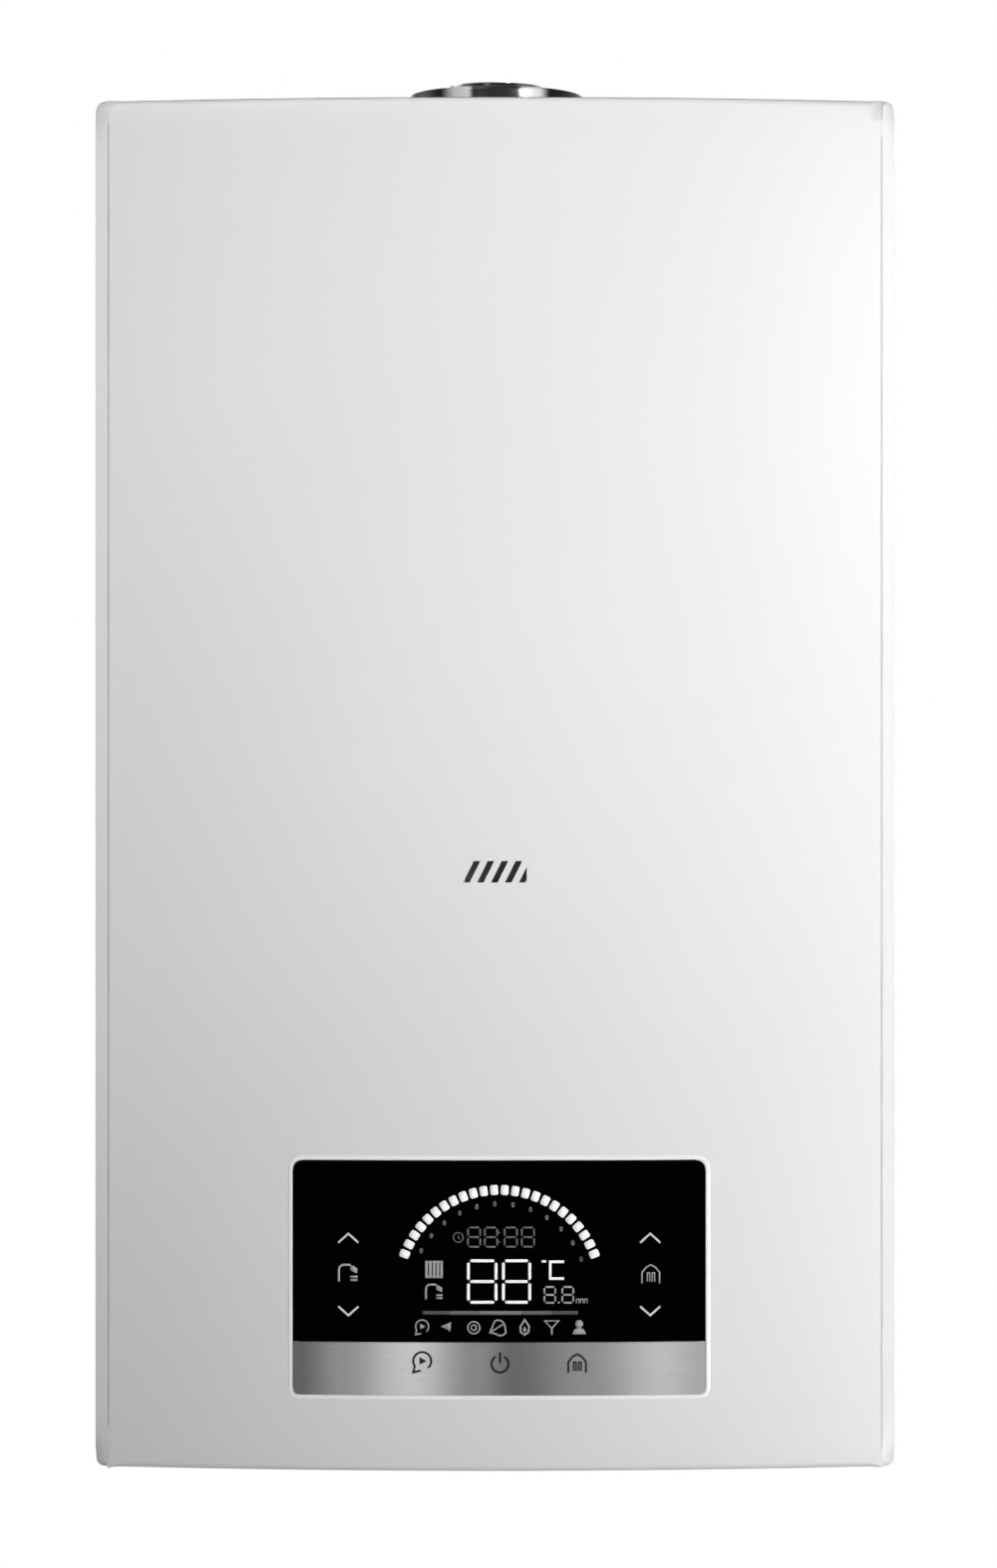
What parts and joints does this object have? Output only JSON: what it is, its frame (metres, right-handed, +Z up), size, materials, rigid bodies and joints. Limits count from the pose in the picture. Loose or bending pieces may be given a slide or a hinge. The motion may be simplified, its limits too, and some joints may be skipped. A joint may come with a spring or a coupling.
{
  "type": "gas boiler",
  "caption": "Wall-hung combi gas boiler with a bowed white front cover, a black touch panel, a coaxial flue collar and its burner, exchanger, fan, pump and valves inside.",
  "frame": {"origin": "midway between the centres of the two wall bolts, in the plane of the wall", "axes": "+X to the right as seen from the front, +Y into the wall, +Z up; the front faces -Y"},
  "size_m": [0.43, 0.3286, 0.7833],
  "materials": {
    "white_enamel": "white powder coat, satin",
    "zinc_sheet": "galvanised sheet steel",
    "polished_steel": "polished stainless steel",
    "screw_zinc": "zinc-plated steel",
    "black_glass": "black glossy touch panel",
    "silver_strip": "brushed aluminium film",
    "pale_plastic": "pale grey satin plastic",
    "grey_plastic": "grey moulded plastic",
    "black_plastic": "black moulded plastic",
    "red_plastic": "red moulded plastic",
    "blue_plastic": "blue moulded plastic",
    "board_green": "green circuit board",
    "vessel_red": "red painted steel",
    "copper": "bare copper",
    "brass": "cast brass",
    "cast_grey": "cast and painted metal",
    "alu_cast": "die-cast aluminium",
    "burner_steel": "stainless steel with heat tint",
    "fibre_board": "ceramic fibre board",
    "ceramic": "white glazed ceramic",
    "seal_rubber": "soft seal rubber",
    "hose_silicone": "silicone hose",
    "clear_glass": "heat-proof glass"
  },
  "bodies": {
    "casing": {"wall_bracket": "zinc_sheet", "rear_frame": "zinc_sheet", "left_side_panel": "white_enamel", "right_side_panel": "white_enamel", "top_plate": "zinc_sheet", "bottom_plate": "zinc_sheet", "casing_screws": "screw_zinc", "air_collar": "white_enamel", "flue_spigot": "polished_steel", "air_intake_cap": "white_enamel", "expansion_vessel": "vessel_red", "chamber_box": "zinc_sheet", "chamber_gasket": "seal_rubber", "chamber_door": "zinc_sheet", "sight_glass": "clear_glass", "combustion_chamber": "zinc_sheet", "insulation_boards": "fibre_board", "burner_blades": "burner_steel", "burner_frame": "zinc_sheet", "gas_manifold": "alu_cast", "electrodes": "ceramic", "exchanger_fins": "copper", "exchanger_tubes": "copper", "flue_hood": "zinc_sheet", "fan_housing": "zinc_sheet", "fan_motor": "cast_grey", "air_pressure_switch": "grey_plastic", "pressure_hoses": "hose_silicone", "gas_valve": "alu_cast", "gas_inlet_pipe": "copper", "gas_outlet_pipe": "copper", "flow_pipe": "copper", "return_pipe": "copper", "diverter_valve": "brass", "diverter_motor": "black_plastic", "return_manifold": "brass", "safety_valve": "brass", "pump_housing": "cast_grey", "pump_motor": "black_plastic", "air_vent": "brass", "plate_exchanger": "polished_steel", "expansion_hose": "seal_rubber", "dhw_outlet": "brass", "flow_sensor": "brass", "union_nuts": "brass", "cable_gland": "black_plastic", "hinge_brackets": "zinc_sheet"},
    "cover": {"front_cover": "white_enamel"},
    "control_box": {"control_housing": "grey_plastic", "control_cover": "grey_plastic", "panel_bezel": "pale_plastic", "display_glass": "black_glass", "panel_strip": "silver_strip", "main_board": "board_green"},
    "fan_wheel": {"fan_impeller": "alu_cast"},
    "pump_wheel": {"pump_rotor": "grey_plastic"},
    "valve_spindle": {"diverter_stem": "polished_steel"},
    "filling_tap": {"filling_knob": "blue_plastic"},
    "relief_cap": {"safety_valve_cap": "red_plastic"},
    "turbine": {"flow_turbine": "grey_plastic"}
  },
  "joints": [
    {"name": "front_cover_slide", "type": "slide", "parent": "casing", "child": "cover", "axis": [0, -1, 0], "range_m": [0, 0.4]},
    {"name": "control_box_hinge", "type": "hinge", "parent": "casing", "child": "control_box", "pos_m": [0.0023, -0.304, -0.64], "axis": [1, 0, 0], "range_deg": [0, 90]},
    {"name": "fan_spin", "type": "hinge", "parent": "casing", "child": "fan_wheel", "pos_m": [0.046, -0.14, -0.052], "axis": [0, 1, 0], "continuous": true},
    {"name": "pump_spin", "type": "hinge", "parent": "casing", "child": "pump_wheel", "pos_m": [0.14, -0.155, -0.562], "axis": [0, 1, 0], "continuous": true},
    {"name": "diverter_slide", "type": "slide", "parent": "casing", "child": "valve_spindle", "axis": [0, 0, 1], "range_m": [0, 0.008]},
    {"name": "filling_tap_turn", "type": "hinge", "parent": "casing", "child": "filling_tap", "pos_m": [0.104, -0.11, -0.662], "axis": [0, 0, 1], "range_deg": [0, 180]},
    {"name": "relief_cap_turn", "type": "hinge", "parent": "casing", "child": "relief_cap", "pos_m": [0.178, -0.11, -0.582], "axis": [0, 0, 1], "range_deg": [0, 90]},
    {"name": "turbine_spin", "type": "hinge", "parent": "casing", "child": "turbine", "pos_m": [0.07, -0.11, -0.622], "axis": [0, 0, 1], "continuous": true}
  ],
  "couplings": [
    {"joint": "control_box_hinge", "follows": "front_cover_slide", "rad_per_m": 3.927}
  ]
}
